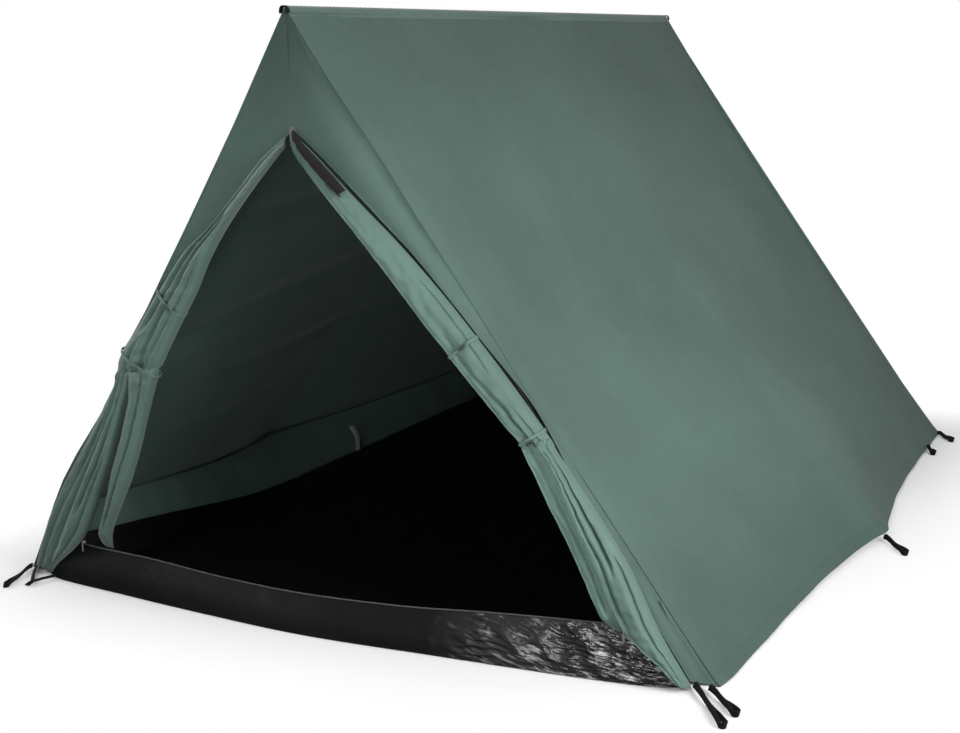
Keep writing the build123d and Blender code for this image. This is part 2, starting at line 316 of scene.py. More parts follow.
def cloth_material(name, colour, rough=0.66, sheen=0.25, pitch=0.0016, crease=0.35, painted_shade=()):
    """Coated woven cloth: thread-scale weave, slubs, faint creases, cloudy colour and a soft sheen.
    Its last argument holds painted shade by height: (height where darkening starts, height where it is full,
    share of the colour left there)."""
    n = Nodes(name)
    uv, where = n.cloth_uv(), n.where()
    cloud = n.noise(where, 2.2, 3, 0.55)
    fine = n.noise(where, 38.0, 4, 0.6)
    slub = n.noise(n.mapped(uv, (60, 900, 1)), 1.0, 2)
    tone = n.mix(n.ramp(cloud, 0.32, 0.68), scaled(colour, 0.90), scaled(colour, 1.18))
    tone = n.mix(n.ramp(fine, 0.3, 0.7, 0.0, 0.16), tone, scaled(colour, 0.72))
    tone = n.mix(n.ramp(slub, 0.35, 0.75, 0.0, 0.10), tone, scaled(colour, 1.45))
    height = n.part(where, 2)
    # painted shade: the colour darkens towards the given heights
    for start, full, left in painted_shade:
        tone = n.mix(n.times(n.ramp(height, start, full), 1 - left), tone, rgba(0, 0, 0))
    folds = n.noise(n.mapped(uv, (7, 3.2, 1)), 1.0, 5, 0.55)
    normal = n.bump(folds, crease, 0.012)
    normal = n.bump(fine, 0.25, 0.0006, normal)
    normal = n.bump(weave_height(n, uv, pitch), 0.30, 0.00025, normal)
    shine = n.ramp(fine, 0.3, 0.7, rough - 0.05, rough + 0.06)
    return n.finish(Base_Color=tone, Roughness=shine, Normal=normal, Sheen_Weight=sheen,
                    Sheen_Roughness=0.45, Specular_IOR_Level=0.35)


def webbing_material(name, colour, pitch=0.0022, wear_to=3.0):
    """Flat woven webbing: thick crossed threads, paler where it is worn."""
    n = Nodes(name)
    weave = weave_height(n, n.cloth_uv(), pitch)
    wear = n.noise(n.where(), 70.0, 3, 0.6)
    tone = n.mix(n.ramp(weave, -1, 1), scaled(colour, 0.7), scaled(colour, 1.7))
    tone = n.mix(n.ramp(wear, 0.5, 0.8, 0.0, 0.35), tone, scaled(colour, wear_to))
    normal = n.bump(weave, 0.7, 0.0006)
    return n.finish(Base_Color=tone, Roughness=0.85, Normal=normal, Sheen_Weight=0.04,
                    Specular_IOR_Level=0.2)


def film_material(name, colour, gloss, shine=0.22, dull=0.50, glossy_from=9.0):
    """Black woven polyethylene, creased, with a faint tape weave. From glossy_from, metres across, to the
    right it turns glossy, with hard creases, and pale streaks along them are painted highlights."""
    n = Nodes(name)
    uv, where = n.cloth_uv(), n.where()
    crinkle = n.noise(where, 26.0, 6, 0.62)
    broad = n.noise(where, 6.0, 3, 0.5)
    across = n.part(where, 0)
    crushed = n.ramp(across, glossy_from, glossy_from + 0.38)
    tone = n.mix(n.ramp(broad, 0.35, 0.7), scaled(colour, 0.8), scaled(colour, 1.5))
    slanted = n.mapped(uv, angle=0.22)
    # Painted highlights: pale streaks and patches painted into the colour along the creases of the crushed
    # right end.
    highlight_streaks = n.noise(n.mapped(slanted, (13, 100, 1)), 1.0, 4, 0.6)
    highlight_patches = n.ramp(n.noise(where, 17.0, 2), 0.44, 0.56)
    edge = n.ramp(across, glossy_from + 0.25, glossy_from + 0.45, 0.545, 0.50)
    painted_highlight = n.ramp(n.maths("SUBTRACT", highlight_streaks, edge), 0.0, 0.05)
    painted_highlight = n.times(painted_highlight, n.times(crushed, highlight_patches))
    tone = n.mix(n.times(painted_highlight, 0.85), tone, rgba(0.36, 0.37, 0.368))
    large, small = [n.ridges(n.mapped(slanted, scale)) for scale in ((14, 60, 1), (34, 150, 1))]
    facet = n.maths("ADD", large, n.times(small, 0.5))
    normal = n.bump(broad, 0.25, 0.02)
    normal = n.bump(n.times(facet, crushed), 0.5, 0.012, normal)
    normal = n.bump(crinkle, 0.30, 0.003, normal)
    normal = n.bump(weave_height(n, uv, 0.0045), 0.10, 0.0003, normal)
    rough = n.ramp(crinkle, 0.3, 0.7, dull - 0.06, dull + 0.06)
    rough = n.maths("SUBTRACT", rough, n.times(crushed, dull - shine))
    level = n.ramp(across, glossy_from, glossy_from + 0.25, gloss, 1.0)
    return n.finish(Base_Color=tone, Roughness=rough, Normal=normal, Specular_IOR_Level=level)


def plain_material(name, colour, rough, metallic=0.0, grain=400.0, wear=None):
    """Metal or moulded plastic with fine grain, cloudy roughness and, with a wear colour, worn spots."""
    n = Nodes(name)
    where = n.where()
    fine = n.noise(where, grain, 4, 0.6)
    broad = n.noise(where, 14.0, 3, 0.5)
    tone = n.mix(n.ramp(broad, 0.3, 0.7), scaled(colour, 0.85), scaled(colour, 1.15))
    if wear:
        tone = n.mix(n.ramp(n.noise(where, 60.0, 5, 0.65), 0.62, 0.72, 0.0, 0.8), tone, rgba(*wear))
    cloudy = n.ramp(broad, 0.3, 0.7, rough - 0.06, rough + 0.08)
    return n.finish(Base_Color=tone, Metallic=metallic, Roughness=cloudy, Normal=n.bump(fine, 0.3, 0.0002))


GREEN = rgba(0.060, 0.106, 0.091)


# Lighter copies of the canopy's cloth for the door flaps. The difference between the right and left copies is
# painted light, and the inner copy is painted lighter still where the main lobe shades it.
def flap_cloth(word, bright):
    return cloth_material(f"flap_cloth_{word}", scaled(GREEN, bright), crease=0.5, rough=0.58)


# painted shade on the right slope's cloth: darker towards the ridge and towards the hem
canopy = cloth_material("canopy_cloth", GREEN, sheen=0.10, painted_shade=((0.95, 1.34, 0.86), (0.34, 0.0, 0.72)))
canopy_left = cloth_material("canopy_cloth_left", GREEN, crease=0.6, sheen=0.10)
# painted shade at the top of the door end
wall = cloth_material("wall_cloth", scaled(GREEN, 0.98), sheen=0.10, painted_shade=((1.06, 1.28, 0.60),))
flap_right_cloth = flap_cloth("right", 1.35)
# painted light: the inner lobes' cloth made lighter to stand in for light in the main lobe's shade
flap_inner_painted_light_cloth = flap_cloth("inner", 1.85)
flap_left_cloth = flap_cloth("left", 1.22)
seam = cloth_material("seam_tape", scaled(GREEN, 1.1), pitch=0.0012)
pale_cord = cloth_material("pale_zip_cord", rgba(0.075, 0.080, 0.080), pitch=0.001)
sill_cord = cloth_material("sill_zip_cord", rgba(0.055, 0.058, 0.058), pitch=0.001)

webbing = webbing_material("black_webbing", rgba(0.0022, 0.0022, 0.0024))
zip_tape = webbing_material("zip_tape_cloth", rgba(0.008, 0.0065, 0.0065), pitch=0.0014)
pale_tape = webbing_material("inner_tape_cloth", rgba(0.30, 0.30, 0.29), pitch=0.0015, wear_to=1.2)

floor_black = rgba(0.0020, 0.0020, 0.0022)
sill_black = rgba(0.0030, 0.0030, 0.0032)
film = film_material("ground_film", floor_black, gloss=0.12, dull=0.6)
# the sill's film gets painted highlights on its right end
sill_cloth = film_material("sill_film", sill_black, gloss=0.16, shine=0.15, glossy_from=0.30)

zip_metal = plain_material("zip_metal", rgba(0.42, 0.43, 0.42), 0.38, metallic=1.0, grain=200)
toggle = plain_material("toggle_plastic", rgba(0.030, 0.046, 0.040), 0.35)
pole = plain_material("pole_coating", rgba(0.030, 0.033, 0.033), 0.42, grain=700, wear=(0.20, 0.20, 0.20))
fitting = plain_material("fitting_plastic", rgba(0.014, 0.014, 0.015), 0.55)
spindle = plain_material("spindle_steel", rgba(0.42, 0.43, 0.44), 0.34, metallic=1.0, grain=120)


# ---------------- roof

HEM = [  # right hem from front to rear: (across, along, up)
    (0.912, FRONT, 0.003),
    (0.922, -1.00, 0.003),
    (0.924, -0.90, 0.003),
    (0.928, -0.69, 0.005),
    (0.937, -0.42, 0.009),
    (0.958, -0.22, 0.014),
    (0.980, -0.10, 0.019),
    (0.995, -0.040, 0.021),
    (0.981, 0.06, 0.018),
    (0.952, 0.23, 0.010),
    (0.930, 0.42, 0.007),
    (0.917, 0.62, 0.005),
    (0.908, 0.85, 0.004),
    (0.904, REAR, 0.003),
]
RIGHT_SEED, LEFT_SEED = 11, 23
MID_PEG = 0.476  # share along the slope where the middle peg loop pulls the hem out
LEFT_WRINKLES = [  # on the left slope: (metres down at the front, change per metre along, height, width)
    (0.40, -0.10, 0.0110, 0.030),
    (0.58, -0.16, 0.0140, 0.034),
    (0.76, -0.13, 0.0130, 0.030),
    (0.94, -0.18, 0.0150, 0.036),
    (1.12, -0.10, 0.0110, 0.028),
    (1.30, -0.12, 0.0110, 0.026),
]
LEFT_FRONT = [  # the left slope's front edge, from ridge to hem: (share down, how far it stands out)
    (0.0, 0.0), (0.17, -0.004), (0.26, -0.002), (0.34, 0.0), (0.42, 0.004), (0.487, 0.006), (0.543, 0.013),
    (0.59, 0.006), (0.65, -0.002), (0.71, 0.008), (0.77, 0.019), (0.826, 0.024), (0.874, 0.020),
    (0.93, 0.010), (1.0, 0.0),
]


def left_front(down):
    """How far the left slope's front edge stands out at each share down."""
    return np.interp(down, *np.array(LEFT_FRONT).T)


def turn(side, down):
    """How far behind the door plane a slope's front edge lies."""
    return FRONT_TURN * step(down, 0.0, 0.25) if side > 0 else 0.0 * down


def side_points(side, along, down):
    """Surface points of a slope: along runs 0 to 1 from front to rear, down 0 to 1 from ridge to hem."""
    hem = resample(HEM, 241)
    start = FRONT + turn(side, down)
    y = start + (REAR - start) * along
    hem_at = [np.interp(y, hem[:, 1], hem[:, k]) for k in (0, 2)]
    x = 0.002 + (hem_at[0] - 0.002) * down
    z = HEIGHT - 0.002 + (hem_at[1] - HEIGHT + 0.002) * down
    return x, y + 0 * down, z


def roof_relief(along, down, seed):
    """How far the cloth stands out from the stretched surface."""
    m_along, m_down = along * (REAR - FRONT), down * SLANT
    sag = -0.0125 - 0.009 * arch(along) - 0.006 * bump(along, 1, 0.12)
    relief = sag * arch(down) ** 0.8
    spread = np.abs(along - MID_PEG) / (0.04 + 0.5 * (1 - down))
    relief = relief + 0.006 * np.exp(-spread**2 * 4) * step(down, 0.55, 0.95)
    soft = waves(m_along, m_down, seed, 0.55, stretch=1.6)
    relief = relief + 0.0022 * soft * arch(down)
    drawn = waves(m_along + m_down * 0.25, m_down, seed + 1, 0.16, stretch=5.0)
    relief = relief + 0.0011 * drawn * step(down, 0.55, 0.98)
    hem_pull = np.sin(along * 2 * math.pi * 9 + 0.6 * np.sin(along * 17)) * bump(down, 0.985, 0.045)
    return relief + 0.0016 * hem_pull


def corner_dip(along, down):
    """The rounded corner where the right slope's cloth bends round the leg."""
    return -0.006 * np.exp(-((along / 0.014) ** 2)) * step(down, 0, 0.15)


def roof(side, name, material, seed, extra=None):
    """A slope with its stitched hem. extra(along, down) adds relief of its own."""
    along = [0], np.linspace(0.0006, 0.05, 14), np.linspace(0.05, 0.9994, 170)[1:], [1]
    along = np.concatenate(along)[:, None]
    hem_rows = [0.9835, 0.984, 0.990, 0.996, 0.9992, 1.0]
    down = np.concatenate([[0, 0.0008, 0.009], np.linspace(0.016, 0.978, 120), hem_rows])[None, :]
    x, y, z = side_points(side, along, down)
    lift = roof_relief(along, down, seed)
    if extra is not None:
        lift = lift + extra(along, down)
    if side > 0:
        lift = lift + corner_dip(along, down)
    lift = lift + 0.0009 * step(down, 0.9833, 0.9842)
    points = np.stack([side * (x + lift * OUT[0]), y + 0 * x, z + lift * OUT[2]], -1)
    uv = np.stack([along * (REAR - FRONT) + 0 * down, down * SLANT + 0 * along], -1)
    return sheet(name, points, material, uv, flip=side > 0)


def left_slack(along, down):
    """Long slanting wrinkles of the left slope, which hangs a little slack, and its front edge's shape."""
    m_along, m_down = along * (REAR - FRONT), down * SLANT
    relief = np.zeros(np.broadcast(along, down).shape)
    for start, rise, size, width in LEFT_WRINKLES:
        line = m_down - start - rise * m_along - 0.02 * np.sin(4.2 * m_along + start * 9)
        relief = relief + size * bump(line, 0, width) * (0.55 + 0.45 * np.sin(2.6 * m_along + start * 21))
    relief = relief * step(along, 0.0, 0.12) * step(1 - along, 0.0, 0.12)
    relief = relief * step(down, 0.1, 0.35) * step(1 - down, 0.01, 0.10)
    to_edge = left_front(down) - roof_relief(0.0, down, LEFT_SEED)
    return relief + to_edge * np.exp(-((along / 0.09) ** 2))


right = roof(1, "roof_right_cloth", canopy, RIGHT_SEED)
left = roof(-1, "roof_left_cloth", canopy_left, LEFT_SEED, left_slack)
put(right, "right_side", "canopy_cloth", "roof_right")
put(left, "left_side", "canopy_cloth", "roof_left")


def ridge_binding():
    """The felled seam over the ridge."""
    y = np.linspace(FRONT - 0.001, REAR + 0.001, 260)
    across = np.array([-0.013, -0.0122, -0.008, -0.003, 0.0, 0.003, 0.008, 0.0122, 0.013])
    slope = HEIGHT / HALF_WIDTH
    rise = HEIGHT + 0.0022 - np.abs(across) * slope + 0.003 * bump(across, 0, 0.004) - 0.0028
    rise = rise - np.array([0.0012, 0, 0, 0, 0, 0, 0, 0, 0.0012])
    points = np.zeros((len(y), len(across), 3))
    points[..., 0] = across
    points[..., 1] = y[:, None]
    points[..., 2] = rise + 0.0004 * np.sin(y * 420)[:, None]
    return sheet("ridge_binding", points, seam, thick=0.0016)


put(ridge_binding(), "ridge", "seam_tape", "ridge_seam")


# ---------------- end walls

DOOR_EDGE = {  # from the door's top to its foot: (across, up)
    1: [(0.002, 1.090), (0.055, 1.045), (0.149, 0.956), (0.211, 0.895), (0.274, 0.836), (0.332, 0.776),
        (0.385, 0.718), (0.435, 0.659), (0.486, 0.602), (0.535, 0.544), (0.580, 0.470), (0.645, 0.350),
        (0.705, 0.252), (0.770, 0.152), (0.862, 0.010)],
    -1: [(0.002, 1.090), (0.060, 1.040), (0.144, 0.972), (0.237, 0.880), (0.306, 0.823), (0.359, 0.770),
         (0.410, 0.708), (0.468, 0.624), (0.520, 0.540), (0.645, 0.342), (0.705, 0.252), (0.770, 0.152),
         (0.862, 0.010)],
}


def front_edge(side, down):
    """Points of a slope's front edge."""
    x, _, z = side_points(side, np.zeros(1), down)
    if side < 0:
        lift = left_front(down)
    else:
        lift = roof_relief(np.zeros(1), down, RIGHT_SEED) + corner_dip(np.zeros(1), down)
    return x + lift * OUT[0], FRONT + turn(side, down), z + lift * OUT[2]


def wall_edge(side, name):
    """Half of the door end: from the roof's front edge in to the middle or to the door's edge."""
    down = np.linspace(0, 1, 170)[:, None]
    inward = np.linspace(0, 1, 60)[None, :] ** 1.5
    edge = resample(DOOR_EDGE[side], 200)
    outer_x, outer_y, outer_z = front_edge(side, down)
    top = (HEIGHT - DOOR_EDGE[side][0][1]) / HEIGHT
    share = (down - top) / (1 - top)
    beside, below = [np.interp(share, np.linspace(0, 1, 200), edge[:, k]) for k in (0, 1)]
    inner_x = np.where(down < top, 0.0 * down, beside)
    peak = HEIGHT - 0.006
    inner_z = np.where(down < top, peak - (peak - edge[0, 1]) * down / top, below)
    x = outer_x + (inner_x - outer_x) * inward
    z = outer_z + (inner_z - outer_z) * inward
    relief = 0.0022 * waves(side * x, z, 31, 0.24, stretch=2.5) * step(inward, 0.0, 0.25)
    from_edge = np.hypot(x - outer_x, z - outer_z)
    y = FRONT + 0.0015 * step(from_edge, 0.0, 0.03) - relief * step(down, 0.0, 0.08)
    y = y + (outer_y - FRONT) * np.exp(-((from_edge / 0.045) ** 2))
    y = y - 0.0012 * step(inward, 0.97, 0.99) * (down > top)
    points = np.stack([side * x, y + 0 * x, z + 0 * x], -1)
    uv = np.stack([z + 0 * x, x + 0 * z], -1)
    return sheet(name, points, wall, uv, thick=0, flip=side < 0)


def rear_half(side, name):
    """Half of the rear wall, gently slack between the slopes."""
    down = np.linspace(0.002, 1, 120)[:, None]
    inward = np.linspace(0, 1, 60)[None, :]
    x = (HALF_WIDTH - 0.004) * down * (1 - inward)
    z = (HEIGHT - 0.008) * (1 - down) + 0.003
    slack = 0.010 * arch(down) * np.cos(math.pi / 2 * x / HALF_WIDTH)
    relief = 0.0022 * waves(side * x, z + 0 * x, 71, 0.30, stretch=2.0)
    relief = relief * arch(down) * step(inward, 0.0, 0.2)
    y = REAR - 0.006 - slack - relief
    points = np.stack([side * x, y, z + 0 * x], -1)
    uv = np.stack([z + 0 * x, side * x], -1)
    return sheet(name, points, wall, uv, flip=side > 0)


for side, word in SIDES:
    front, rear = wall_edge(side, f"front_wall_{word}"), rear_half(side, f"rear_wall_{word}")
    put(front, f"{word}_side", "wall_cloth", "front_wall", fold=side)
    put(rear, f"{word}_side", "wall_cloth", "rear_wall", fold=side, keep=REAR_KEEP)


def edge_seam(side, name):
    """The stitched seam where the slope meets the door end."""
    down = np.linspace(0.004, 0.995, 260)
    x, y, z = front_edge(side, down)
    path = np.stack([side * x, y - 0.0002, z], -1)
    return cord(name, path, 0.0010 + 0.0001 * np.sin(down * 900), canopy, sides=8)


for side, word in SIDES:
    put(edge_seam(side, f"front_seam_{word}"), f"{word}_side", "seam_tape")


# ---------------- rolled door flaps

FLAPS = []


def valley(across, centre, width):
    """A crisp fold line."""
    return np.exp(-(np.abs((across - centre) / width) ** 1.2))


def gather(t, *spots):
    """1 along a bundle, less where a strap pulls it in: spots are (place, how much, width)."""
    value = 1 + 0 * t
    for place, much, width in spots:
        value = value - much * bump(t, place, width)
    return value


def lobe(name, outer, inner, material, depth, lean, creases, seed, rough, hem, pinch, rows=150,
         tips=(0.03, 0.02), tuck=None):
    """A gathered tube of flap cloth between two edge lines of (across, up). Returns its grid of points.
    lean is how far the outer and inner lines stand forward of the door end, and depth(t) how far the tube
    bulges in front of them, t from 0 at its top to 1 at its foot. creases are (place(t) across, depth, width,
    from, to). rough is the wrinkles' height and hem the edge's. tips are the shares of the length that taper
    off at each end, and pinch is how much the wrinkles grow towards each end. From the share tuck on the tube
    goes back behind the sill."""
    outer, inner = resample(outer, rows), resample(inner, rows)
    t = np.linspace(0, 1, rows)[:, None]
    cols = 120
    a = np.linspace(0, 1, cols, endpoint=False)[None, :]
    front = a < 0.5
    c = np.where(front, a * 2, 2 - a * 2)
    across = 0.5 - 0.5 * np.cos(math.pi * c)
    taper = np.clip(t / tips[0], 0, 1) ** 0.5 * np.clip((1 - t) / tips[1], 0, 1) ** 0.5
    bulge = arch(c) ** 0.7 * taper
    base = lean[0] + (lean[1] - lean[0]) * across
    swell = depth(t)
    if tuck:
        away = step(t, tuck, tuck + 0.16)
        base = base * (1 - away) - 0.006 * away
        swell = swell * (1 - 0.6 * away)
    crest = swell * bulge
    for place, deep, width, begin, finish in creases:
        strength = step(t, begin, begin + 0.08) * (1 - step(t, finish - 0.08, finish))
        crest = crest - deep * swell * valley(across, place(t), width) * strength * bulge
    crest = crest + hem * bump(across, 0.94, 0.035) * bulge
    length = np.linalg.norm(np.diff(outer, axis=0), axis=1).sum()
    near_end = 1 + pinch[0] * np.exp(-t * length / 0.04) + pinch[1] * np.exp(-(1 - t) * length / 0.04)
    long_wrinkle = waves(across * 0.08, t * length, seed, 0.045, stretch=5.0)
    cross_wrinkle = waves(across * 0.06, t * length, seed + 5, 0.024, stretch=1.4)
    crest = crest + rough * near_end * (long_wrinkle + 0.6 * cross_wrinkle) * bulge
    forward = np.where(front, base + crest, base * (1 - 0.85 * bulge))
    x, z = [between(outer, inner, k, across) for k in (0, 1)]
    points = np.stack([x, FRONT - forward, z], -1)
    obj = sheet(name, points, material, thick=0, closed=True)
    close_ends(obj, rows, cols)
    FLAPS.append(obj)
    return points


right_upper = lobe(
    "door_flap_right_upper",
    [(0.012, 1.078), (0.060, 1.036), (0.118, 0.980), (0.176, 0.926), (0.254, 0.855), (0.345, 0.762),
     (0.418, 0.680), (0.482, 0.604), (0.540, 0.532), (0.590, 0.466)],
    [(0.014, 1.054), (0.055, 1.002), (0.104, 0.945), (0.160, 0.885), (0.218, 0.820), (0.268, 0.762),
     (0.322, 0.698), (0.380, 0.632), (0.438, 0.566), (0.487, 0.514), (0.520, 0.482), (0.548, 0.456)],
    flap_right_cloth,
    lambda t: (0.010 + 0.014 * step(t, 0.05, 0.5)) * gather(t, (0.66, 0.20, 0.025), (1.0, 0.35, 0.04)),
    creases=((lambda t: 0.22 + 0.05 * np.sin(9 * t), 0.35, 0.050, 0.45, 0.80),
             (lambda t: 0.62 + 0.08 * np.sin(11 * t), 0.40, 0.060, 0.62, 0.90),
             (lambda t: 0.95 - 0.45 * t, 0.55, 0.045, 0.80, 1.2),
             (lambda t: 0.30, 0.50, 0.035, 0.86, 1.2)),
    lean=(0.009, 0.030), seed=3, rough=0.0017, hem=0.0055, rows=240, pinch=(0, 3))
lobe(
    "door_flap_right_main",
    [(0.580, 0.480), (0.600, 0.446), (0.627, 0.410), (0.671, 0.350), (0.711, 0.291), (0.749, 0.229),
     (0.775, 0.176), (0.800, 0.122), (0.829, 0.072), (0.856, 0.028), (0.870, 0.006)],
    [(0.556, 0.480), (0.592, 0.440), (0.618, 0.385), (0.650, 0.308), (0.688, 0.235), (0.708, 0.178),
     (0.736, 0.124), (0.768, 0.088), (0.822, 0.046), (0.857, 0.010)],
    flap_right_cloth, lambda t: 0.021 * (0.65 + 0.5 * arch(t)),
    creases=((lambda t: 0.30 + 0.30 * t + 0.03 * np.sin(12 * t), 0.95, 0.055, -0.1, 0.55),
             (lambda t: 0.66 + 0.16 * t, 0.60, 0.050, 0.02, 0.75),
             (lambda t: 0.12 + 0.16 * t + 0.03 * np.sin(9 * t), 0.55, 0.045, 0.45, 1.2)),
    lean=(0.013, 0.034), seed=9, rough=0.0018, hem=0.005, rows=190, pinch=(2.5, 2))
lobe(
    "door_flap_right_inner",
    [(0.574, 0.480), (0.608, 0.430), (0.638, 0.372), (0.668, 0.300), (0.706, 0.228), (0.722, 0.176),
     (0.738, 0.118), (0.745, 0.090)],
    [(0.520, 0.490), (0.530, 0.456), (0.555, 0.407), (0.587, 0.343), (0.627, 0.266), (0.664, 0.190),
     (0.688, 0.140), (0.704, 0.108), (0.712, 0.086)],
    flap_inner_painted_light_cloth, lambda t: 0.016 * (0.7 + 0.5 * t),
    creases=((lambda t: 0.62 - 0.15 * t + 0.04 * np.sin(10 * t), 0.55, 0.060, 0.03, 0.9),),
    lean=(0.020, 0.030), seed=14, rough=0.0016, hem=0.005, tips=(0.03, 0.03), pinch=(2.5, 0), tuck=0.87)

left_upper = lobe(
    "door_flap_left_upper",
    [(-0.014, 1.078), (-0.082, 1.030), (-0.147, 0.966), (-0.224, 0.892), (-0.303, 0.832), (-0.382, 0.749),
     (-0.452, 0.667), (-0.520, 0.590), (-0.546, 0.536)],
    [(-0.006, 1.062), (-0.058, 1.012), (-0.121, 0.950), (-0.180, 0.885), (-0.234, 0.812), (-0.273, 0.746),
     (-0.323, 0.676), (-0.365, 0.615), (-0.402, 0.560)],
    flap_left_cloth,
    lambda t: (0.007 + 0.020 * step(t, 0.12, 0.5)) * gather(t, (0.63, 0.12, 0.03), (1.0, 0.25, 0.05)),
    creases=((lambda t: 0.36 - 0.16 * t, 0.90, 0.060, -0.1, 0.85),
             (lambda t: 0.56 + 0.07 * np.sin(7 * t), 0.70, 0.055, 0.30, 1.2),
             (lambda t: 0.84 - 0.10 * t, 0.50, 0.050, 0.5, 1.2),
             (lambda t: 0.30, 0.5, 0.04, 0.84, 1.2)),
    lean=(0.012, 0.030), seed=21, rough=0.0016, hem=0.004, rows=240, pinch=(0, 3))
lobe(
    "door_border_left",
    [(-0.548, 0.552), (-0.562, 0.510), (-0.586, 0.474), (-0.632, 0.412), (-0.693, 0.330), (-0.761, 0.243),
     (-0.822, 0.155), (-0.866, 0.070), (-0.894, 0.010)],
    [(-0.530, 0.548), (-0.542, 0.505), (-0.562, 0.462), (-0.596, 0.406), (-0.648, 0.324), (-0.704, 0.236),
     (-0.757, 0.152), (-0.802, 0.074), (-0.836, 0.010)],
    flap_left_cloth, lambda t: 0.016 * (0.7 + 0.4 * arch(t)),
    creases=((lambda t: 0.55 + 0.12 * np.sin(5 * t), 0.50, 0.110, 0.2, 1.2),),
    lean=(0.004, 0.012), seed=26, rough=0.0014, hem=0.0, rows=170, pinch=(2, 1))
lobe(
    "door_flap_left_main",
    [(-0.522, 0.556), (-0.540, 0.508), (-0.560, 0.464), (-0.594, 0.408), (-0.646, 0.326), (-0.702, 0.238),
     (-0.754, 0.154), (-0.799, 0.076), (-0.834, 0.010)],
    [(-0.486, 0.556), (-0.500, 0.512), (-0.517, 0.474), (-0.549, 0.401), (-0.584, 0.324), (-0.626, 0.245),
     (-0.662, 0.176), (-0.695, 0.124), (-0.738, 0.082), (-0.788, 0.043), (-0.822, 0.010)],
    flap_left_cloth, lambda t: 0.020 * (0.75 + 0.4 * arch(t)),
    creases=((lambda t: 0.42 + 0.10 * np.sin(6 * t), 0.80, 0.090, -0.1, 0.70),
             (lambda t: 0.86 - 0.25 * t, 0.55, 0.080, 0.35, 1.2)),
    lean=(0.014, 0.028), seed=27, rough=0.0018, hem=0.003, rows=190, pinch=(2.5, 1))
lobe(
    "door_flap_left_inner",
    [(-0.494, 0.556), (-0.495, 0.512), (-0.506, 0.466), (-0.541, 0.379), (-0.576, 0.302), (-0.605, 0.224),
     (-0.628, 0.171), (-0.645, 0.125), (-0.655, 0.092)],
    [(-0.402, 0.568), (-0.412, 0.540), (-0.430, 0.501), (-0.459, 0.433), (-0.489, 0.358), (-0.526, 0.281),
     (-0.558, 0.228), (-0.590, 0.174), (-0.612, 0.132), (-0.626, 0.090)],
    flap_left_cloth, lambda t: 0.022 * (1.0 - 0.3 * t),
    creases=((lambda t: 0.56 + 0.07 * np.sin(7 * t), 0.75, 0.065, -0.1, 0.9),),
    lean=(0.026, 0.034), seed=33, rough=0.0016, hem=0.004, tips=(0.03, 0.03), pinch=(2.5, 0), tuck=0.88)

for piece in FLAPS:
    side, word = (1, "right") if "right" in piece.name else (-1, "left")
    if "border" in piece.name:
        put(piece, "left_side", "wall_cloth", "front_wall", fold=side)
    else:
        put(piece, f"roll_{word}", "canopy_cloth", f"door_roll_{word}", fold=side)


# ---------------- straps and ties

def ribbon(name, path, across, width, material, thick=0.0013, ripple=0.0):
    """A strap along path. across points along its width at each place."""
    path = np.array(path, float)
    across = np.broadcast_to(np.array(across, float), (len(path), 3))
    offsets = np.linspace(-0.5, 0.5, 6) * width
    points = path[:, None] + across[:, None] * offsets[None, :, None]
    points[..., 2] += ripple * np.sin(run_along(path) * 260)[:, None] * np.linspace(-1, 1, 6)[None, :]
    return sheet(name, points, material, thick=thick)


def hull(points):
    """The convex outline of points in a plane, in order."""
    order = sorted(map(tuple, points))

    def half(run):
        chain = []
        for p in run:
            while len(chain) > 1:
                a, b = chain[-2], chain[-1]
                if (b[0] - a[0]) * (p[1] - a[1]) - (b[1] - a[1]) * (p[0] - a[0]) > 0:
                    break
                chain.pop()
            chain.append(p)
        return chain[:-1]

    return np.array(half(order) + half(order[::-1]))


def in_door(direction):
    """Unit vector in the door plane of (across, up)."""
    return np.array([direction[0], 0, direction[1]]) / math.hypot(*direction)


def band(name, bundle, along, width, material):
    """A strap pulled tight round a bundle of points. along is the bundle's direction in the door plane."""
    along = in_door(along)
    out = np.array([along[2], 0, -along[0]])
    cloud = bundle.reshape(-1, 3)
    origin = np.array([cloud[:, 0].mean(), FRONT, cloud[:, 2].mean()])
    flat = np.stack([(cloud - origin) @ out, -(cloud[:, 1] - FRONT)], 1)
    outline = hull(flat)
    middle = outline.mean(0)
    reach = np.linalg.norm(outline - middle, axis=1)[:, None]
    outline = middle + (outline - middle) * (1 + 0.0016 / reach)
    loop = np.vstack([outline, outline[:1]])
    ring = evenly(loop, 72)
    path = origin + ring[:, :1] * out - np.array([0, 1.0, 0]) * ring[:, 1:]
    return ribbon(name, path, along, width, material), path


def barrel(name, centre, along, length, radius, material):
    """A turned toggle with a waist for its cord."""
    t = np.linspace(-1, 1, 33)
    shape = radius * np.sqrt(np.clip(1 - np.abs(t) ** 6, 0.02, 1)) * (1 - 0.22 * bump(t, 0, 0.22))
    path = np.array(centre) + t[:, None] * in_door(along) * length / 2
    return cord(name, path, shape, material, sides=20)


